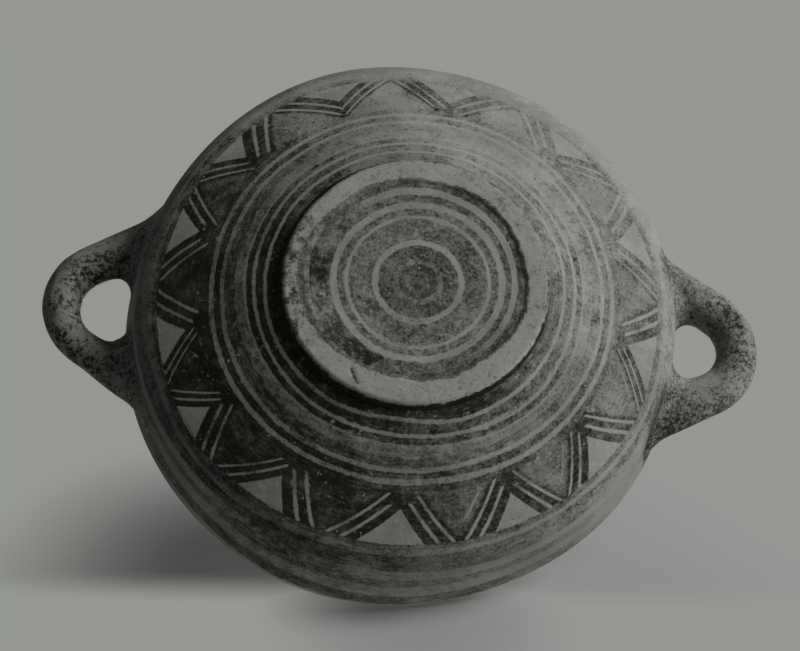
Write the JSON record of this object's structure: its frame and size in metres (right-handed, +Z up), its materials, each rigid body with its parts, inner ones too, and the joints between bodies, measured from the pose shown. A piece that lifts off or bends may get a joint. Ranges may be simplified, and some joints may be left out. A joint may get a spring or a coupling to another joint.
{
  "type": "two-handled bowl",
  "caption": "Shallow ceramic bowl on a low ring foot, with a steep upper wall, horizontal loop handles and painted bands and triangles outside.",
  "frame": {"origin": "on the bowl's axis, at the level of the surface that the foot ring rests on", "axes": "+Z up along the bowl's axis, from foot to rim; +X towards the right handle, with the left handle on -X"},
  "size_m": [0.188, 0.1444, 0.0434],
  "materials": {
    "painted_clay": "matt fired clay with worn dark paint in bands, lines and triangles",
    "foot_clay": "bare matt fired clay, rubbed and chipped",
    "handle_clay": "matt fired clay with dark paint worn to speckles"
  },
  "bodies": {
    "root": {"bowl_body": "painted_clay", "foot_ring": "foot_clay", "handle_left": "handle_clay", "handle_right": "handle_clay", "left_front_root_collar": "handle_clay", "left_back_root_collar": "handle_clay", "right_front_root_collar": "handle_clay", "right_back_root_collar": "handle_clay"}
  },
  "joints": []
}
